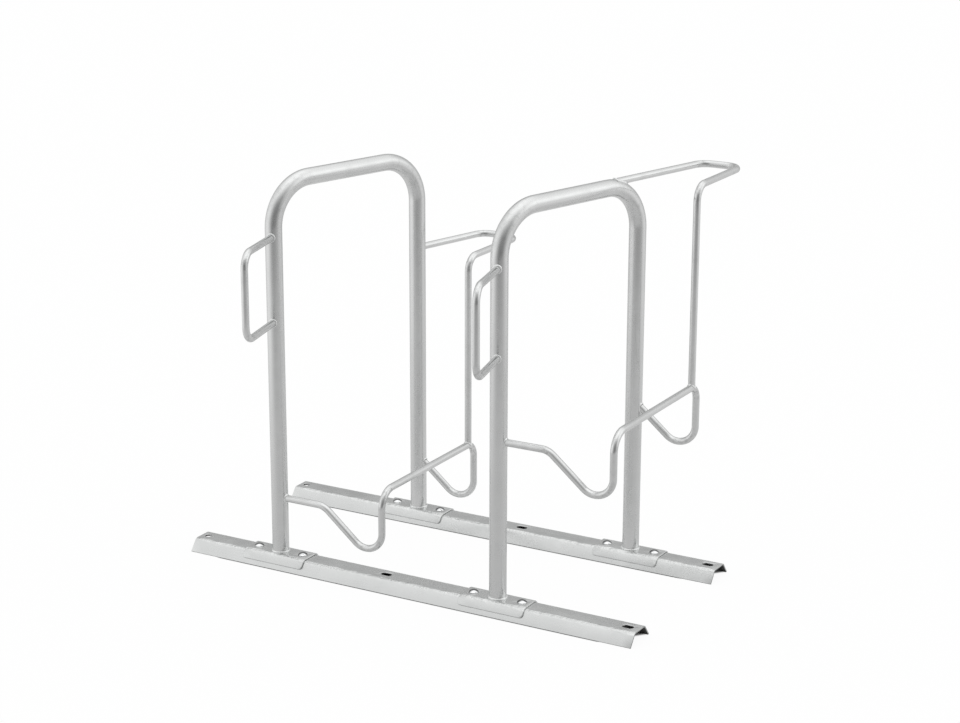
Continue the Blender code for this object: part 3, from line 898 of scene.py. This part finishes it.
def add_lock_loop(bay):
    top = HOOP_HEIGHT - LOCK_LOOP_DROP
    outward = Vector((math.sin(LOCK_LOOP_TURN), -math.cos(LOCK_LOOP_TURN), 0.0))
    upper = leg_point(bay, "front", top)
    lower = leg_point(bay, "front", top - LOCK_LOOP_HEIGHT)
    corners = [upper, upper + outward * LOCK_LOOP_REACH, lower + outward * LOCK_LOOP_REACH, lower]
    add_bar(f"{bay}_lock_bar", f"{bay}_lock_loop", inside_walls(corners), [GUIDE_BEND_RADIUS] * 2)
    host = hoop_host(bay)
    add_seam(f"{bay}_lock_upper_weld", upper, outward, host, size=LARGE_WELD_RADIUS, heavy_below=-0.4)
    add_seam(f"{bay}_lock_lower_weld", lower, outward, host)


# Fasteners


def turned(name, profile, material, sharp_angle):
    """A turned closed shape; a profile point on the axis becomes one vertex."""
    shape = bmesh.new()
    rings = []
    for radius, height in profile:
        if radius == 0.0:
            rings.append([shape.verts.new((0.0, 0.0, height))])
            continue
        ring = []
        for side in range(FASTENER_SIDES):
            turn = 2 * math.pi * side / FASTENER_SIDES
            ring.append(shape.verts.new((radius * math.cos(turn), radius * math.sin(turn), height)))
        rings.append(ring)
    for lower, upper in zip(rings, rings[1:]):
        if len(lower) == 1 or len(upper) == 1:
            tip, ring = (lower[0], upper) if len(lower) == 1 else (upper[0], lower)
            for side in range(FASTENER_SIDES):
                shape.faces.new((tip, ring[side], ring[(side + 1) % FASTENER_SIDES]))
        else:
            bridge(shape, lower, upper)
    if profile[0][0] and profile[-1][0]:
        bridge(shape, rings[-1], rings[0])
    return closed_mesh(name, shape, material, sharp_angle)


def bolt_mesh():
    """A carriage bolt: a domed head with a rolled rim, a short tapered neck and a threaded shank."""
    profile = [(0.0, ON_SHOE + BOLT_HEAD_HEIGHT)]
    rim_angle = math.asin(BOLT_HEAD_RADIUS / DOME_RADIUS)
    for step in range(1, DOME_STEPS + 1):
        angle = rim_angle * step / (DOME_STEPS + 0.3)
        profile.append((DOME_RADIUS * math.sin(angle), DOME_CENTRE + DOME_RADIUS * math.cos(angle)))
    shank = BOLT_DIAMETER / 2
    profile += [
        (BOLT_HEAD_RADIUS - HEAD_RIM_STEP, ON_SHOE + 3 * HEAD_RIM_STEP),
        (BOLT_HEAD_RADIUS - 2 * HEAD_RIM_STEP, ON_SHOE),
        (shank * NECK_TOP_SHARE, ON_SHOE),
        (shank * NECK_FOOT_SHARE, ON_SHOE - SHOE_WALL - TOUCH_GAP),
    ]
    crest, root = shank * THREAD_CREST_SHARE, shank * THREAD_ROOT_SHARE
    height = RAIL_UNDERSIDE
    while height - THREAD_PITCH > BOLT_END + BOLT_TIP_LENGTH:
        profile += [(crest, height), (root, height - THREAD_PITCH / 2)]
        height -= THREAD_PITCH
    profile += [(crest, height), (shank * BOLT_TIP_SHARE, BOLT_END), (0.0, BOLT_END)]
    return turned("carriage_bolt_form", profile, BOLT_PLATING, math.radians(30))


def washer_mesh():
    bottom = WASHER_TOP - WASHER_THICKNESS
    outer, inner, soft = WASHER_DIAMETER / 2, BOLT_HOLE_DIAMETER / 2, WASHER_EDGE_SOFTNESS
    profile = [
        (inner, WASHER_TOP), (outer - soft, WASHER_TOP), (outer, WASHER_TOP - soft),
        (outer, bottom + soft), (outer - soft, bottom), (inner, bottom),
    ]
    return turned("washer_form", profile, BOLT_PLATING, math.radians(50))


def nut_mesh():
    """A hexagon whose corners are turned off at both faces, bored for the bolt."""
    bottom = NUT_TOP - NUT_HEIGHT
    bore = BOLT_HOLE_DIAMETER / 2
    flat = NUT_WIDTH / 2
    face = flat * 0.97
    corner_slope = 0.58
    bore_edge = 0.0004
    shape = bmesh.new()

    def ring(radius_at, height_at):
        verts = []
        for side in range(FASTENER_SIDES):
            turn = 2 * math.pi * side / FASTENER_SIDES
            off_flat = (turn + math.pi / 6) % (math.pi / 3) - math.pi / 6
            hexagon = flat / math.cos(off_flat)
            radius, angle = radius_at(hexagon), turn + math.pi / 6
            place = (radius * math.cos(angle), radius * math.sin(angle), height_at(hexagon))
            verts.append(shape.verts.new(place))
        return verts

    rings = [
        ring(lambda h: bore, lambda h: NUT_TOP),
        ring(lambda h: face, lambda h: NUT_TOP),
        ring(lambda h: h, lambda h: NUT_TOP - (h - face) * corner_slope),
        ring(lambda h: h, lambda h: bottom + (h - face) * corner_slope),
        ring(lambda h: face, lambda h: bottom),
        ring(lambda h: bore + bore_edge, lambda h: bottom),
        ring(lambda h: bore, lambda h: bottom + bore_edge),
    ]
    for index, verts in enumerate(rings):
        bridge(shape, rings[index - 1], verts)
    return closed_mesh("nut_form", shape, BOLT_PLATING, math.radians(28))


def smooth_step(value, low, high):
    share = min(max((value - low) / (high - low), 0.0), 1.0)
    return share * share * (3 - 2 * share)


def paint_shaded_arc(mesh, x, y):
    """Paints shade on an arc of a bolt's head, near its outline as the camera sees it, at the same side of
    every head.
    """
    centre = Vector((x, y, DOME_CENTRE))
    shares = []
    for vertex in mesh.vertices:
        offset = vertex.co - centre
        along = offset.dot(SHADED_ARC_AXIS)
        across = math.sqrt(max(offset.length_squared - along**2, 0.0)) / DOME_RADIUS
        share = smooth_step(across, *SHADED_ARC_INNER_EDGE) * smooth_step(along, *SHADED_ARC_LOWER_EDGE)
        shares.append(share if vertex.co.z > ON_SHOE + 2 * HEAD_RIM_STEP else 0.0)
    mark_points(mesh, "painted_shade", shares)


def add_fasteners():
    forms = [
        ("carriage_bolt", bolt_mesh(), "bolt_zinc"),
        ("washer", washer_mesh(), "washer_zinc"),
        ("nut", nut_mesh(), "nut_zinc"),
    ]
    seats = [(bay, rail) for bay in BAY_X for rail in RAIL_Y]
    for kind, form, slot_name in forms:
        for bay, rail in seats:
            for number, (x, y) in enumerate(bolt_positions(bay, rail), start=1):
                name = f"{bay}_{rail}_{kind}_{number}"
                mesh = form.copy()
                spin = 0.0 if kind == "washer" else random.uniform(0, math.pi)
                mesh.transform(Matrix.Translation((x, y, 0.0)) @ Matrix.Rotation(spin, 4, "Z"))
                if kind == "carriage_bolt":
                    # Painted shade on an arc of the bolt's head
                    paint_shaded_arc(mesh, x, y)
                settle(add_object(name + "_form", mesh), slot_name, name)


# Stage, light and camera


def heading(azimuth):
    angle = math.radians(azimuth)
    return math.cos(angle), math.sin(angle)


def level_distance(nodes, x, y):
    """The length of a level vector, never quite zero."""
    squares = nodes.math("ADD", nodes.math("MULTIPLY", x, x), nodes.math("MULTIPLY", y, y))
    return nodes.math("SQRT", nodes.math("ADD", squares, 1e-6))


def level_cosine(nodes, x, y, direction, clamp=False):
    """The cosine between a vector and a level direction, as they are seen from above."""
    across = nodes.math("MULTIPLY", y, direction[1])
    along = nodes.math("MULTIPLY_ADD", x, direction[0], across)
    return nodes.math("DIVIDE", along, level_distance(nodes, x, y), clamp=clamp)


def side_shares(nodes, x, y):
    """How much each side of the studio counts in a direction."""
    shares = []
    for side in STUDIO_SIDES:
        cosine = level_cosine(nodes, x, y, heading(side["azimuth"]), clamp=True)
        shares.append(nodes.math("POWER", cosine, side["narrowness"]))
    return shares


def outside_the_rails(nodes, x, y, past_end, slant):
    """Zero where the floor lies inside a rail, up to a slanting edge near its ends, and one elsewhere."""
    half_foot = RAIL_TOP_WIDTH / 2 + RAIL_HEIGHT / math.tan(RAIL_SIDE_ANGLE)
    end = RAIL_LENGTH / 2 + past_end
    inside = 0.0
    for rail_y in RAIL_Y.values():
        sideways = nodes.math("SUBTRACT", y, rail_y)
        between = nodes.math("ABSOLUTE", sideways)
        between = nodes.fall(between, half_foot - DARK_FLOOR_SIDE_FADE, half_foot)
        from_far_foot = nodes.math("SUBTRACT", half_foot, sideways)
        along = nodes.math("MULTIPLY_ADD", from_far_foot, slant, nodes.math("ABSOLUTE", x))
        before_end = nodes.fall(along, end - DARK_FLOOR_END_FADE, end)
        inside = nodes.math("MULTIPLY_ADD", between, before_end, inside)
    return nodes.math("SUBTRACT", 1.0, inside)


def mirrored_grey(nodes, x, y, farness):
    """The floor's grey in the metal: pale close by, and further out as the foot of each side."""
    slope = level_cosine(nodes, x, y, FLOOR_SLOPE_DIRECTION)
    close = nodes.math("MULTIPLY_ADD", slope, FLOOR_MIRRORED_SLOPE, FLOOR_MIRRORED_GREY)
    far = 0.0
    for share, side in zip(side_shares(nodes, x, y), STUDIO_SIDES):
        foot_grey = side["greys"][0][1]
        far = nodes.math("MULTIPLY_ADD", share, foot_grey, far)
    return nodes.math("MULTIPLY_ADD", nodes.math("SUBTRACT", far, close), farness, close)


def add_floor():
    """A pale floor that the camera sees as white, with its shadows, and the metal as pale grey."""
    shape = bmesh.new()
    bmesh.ops.create_grid(shape, x_segments=1, y_segments=1, size=FLOOR_HALF_WIDTH)
    mesh = mesh_from("floor", shape)
    material = bpy.data.materials.new("pale_floor")
    mesh.materials.append(material)
    nodes = NodeTree(material)
    nodes.shader.inputs["Roughness"].default_value = 0.9
    nodes.shader.inputs["Specular IOR Level"].default_value = 0.0
    x, y, _ = nodes.axes()
    rays = nodes.new("ShaderNodeLightPath").outputs
    seen = rays["Is Camera Ray"]
    mirrored = nodes.math("MAXIMUM", rays["Is Glossy Ray"], rays["Is Transmission Ray"])
    colour = nodes.math("MULTIPLY_ADD", seen, FLOOR_SEEN_COLOUR - FLOOR_LIT_COLOUR, FLOOR_LIT_COLOUR)
    nodes.link(colour, nodes.shader.inputs["Base Color"])

    from_middle = [nodes.math("SUBTRACT", place, middle) for place, middle in zip((x, y), FLOOR_MIDDLE)]
    farness = nodes.rise(level_distance(nodes, *from_middle), FLOOR_NEAR_EDGE, FLOOR_FAR_EDGE)
    seen_share = nodes.math("MULTIPLY", seen, FLOOR_SEEN_WHITE)
    seen_share = nodes.math("MULTIPLY", seen_share, outside_the_rails(nodes, x, y, **DARK_FLOOR_SEEN))
    mirrored_share = nodes.math("MULTIPLY_ADD", farness, 1.0 - FLOOR_MIRRORED_SHARE, FLOOR_MIRRORED_SHARE)
    mirrored_share = nodes.math("MULTIPLY", mirrored_share, mirrored)
    # Painted shade on the floor past the rails' ends, in what the metal mirrors
    outside = outside_the_rails(nodes, x, y, **DARK_FLOOR_MIRRORED)
    mirrored_share = nodes.math("MULTIPLY", mirrored_share, outside)

    grey = nodes.math("MULTIPLY", mirrored_grey(nodes, x, y, farness), mirrored)
    white = nodes.new("ShaderNodeEmission")
    nodes.link(nodes.math("ADD", grey, seen), white.inputs["Strength"])
    mix = nodes.new("ShaderNodeMixShader")
    nodes.link(nodes.math("MAXIMUM", seen_share, mirrored_share), mix.inputs["Fac"])
    nodes.link(nodes.shader.outputs["BSDF"], mix.inputs[1])
    nodes.link(white.outputs["Emission"], mix.inputs[2])
    nodes.link(mix.outputs["Shader"], nodes.tree.nodes["Material Output"].inputs["Surface"])
    add_object("floor", mesh)


def height_ramp(nodes, z, greys):
    """A side's grey at each height. A ramp holds colours up to one, so it holds half of the grey."""
    ramp = nodes.new("ShaderNodeValToRGB")
    ramp.color_ramp.interpolation = "EASE"
    stops = ramp.color_ramp.elements
    while len(stops) < len(greys):
        stops.new(0.5)
    for stop, (height, grey) in zip(stops, greys):
        stop.position = height
        stop.color = (grey / 2, grey / 2, grey / 2, 1.0)
    nodes.link(z, ramp.inputs["Fac"])
    return ramp.outputs["Color"]


def light_world():
    """A soft studio: bright overhead, a bright wall to the right and a dim one behind the camera."""
    world = bpy.data.worlds.new("studio")
    bpy.context.scene.world = world
    nodes = NodeTree(world, shader="Background", place="Generated")
    x, y, z = nodes.axes()
    total = 0.0
    for share, side in zip(side_shares(nodes, x, y), STUDIO_SIDES):
        total = nodes.math("MULTIPLY_ADD", height_ramp(nodes, z, side["greys"]), share, total)
    towards_gap = level_cosine(nodes, x, y, heading(GAP_AZIMUTH), clamp=True)
    gap = nodes.rise(towards_gap, math.cos(math.radians(GAP_HALF_WIDTH)), 1.0, top=GAP_DEPTH)
    gap = nodes.math("MULTIPLY", gap, nodes.rise(z, *GAP_LOWER_EDGE))
    gap = nodes.math("MULTIPLY", gap, nodes.fall(z, *GAP_UPPER_EDGE))
    total = nodes.math("MULTIPLY", total, nodes.math("SUBTRACT", 1.0, gap))
    nodes.link(nodes.math("MULTIPLY", total, 2.0), nodes.shader.inputs["Strength"])
    nodes.feed(nodes.shader.inputs["Color"], STUDIO_TINT)


def add_camera():
    camera = bpy.data.cameras.new("camera")
    camera.lens = CAMERA_LENS
    camera.sensor_width = CAMERA_SENSOR_WIDTH
    camera.clip_end = CAMERA_CLIP_END
    view = add_object("camera", camera)
    forward = Vector(CAMERA_AXIS).normalized()
    right = forward.cross(Vector((0, 0, 1))).normalized()
    up = right.cross(forward)
    x_axis = right * math.cos(CAMERA_ROLL) + up * math.sin(CAMERA_ROLL)
    y_axis = up * math.cos(CAMERA_ROLL) - right * math.sin(CAMERA_ROLL)
    turn = Matrix((x_axis, y_axis, -forward)).transposed().to_4x4()
    x, y, z = CAMERA_PLACE
    view.matrix_world = Matrix.Translation((x, y + MIDDLE_Y, z)) @ turn
    bpy.context.scene.camera = view


for rail_name in RAIL_Y:
    add_rail(rail_name)
for bay_name in BAY_X:
    for rail_name in RAIL_Y:
        add_shoe(bay_name, rail_name)
    add_hoop(bay_name)
    add_guide(bay_name, add_cradle(bay_name))
    add_lock_loop(bay_name)
add_fasteners()
add_floor()
light_world()
add_camera()
bpy.context.scene.view_settings.view_transform = "Standard"
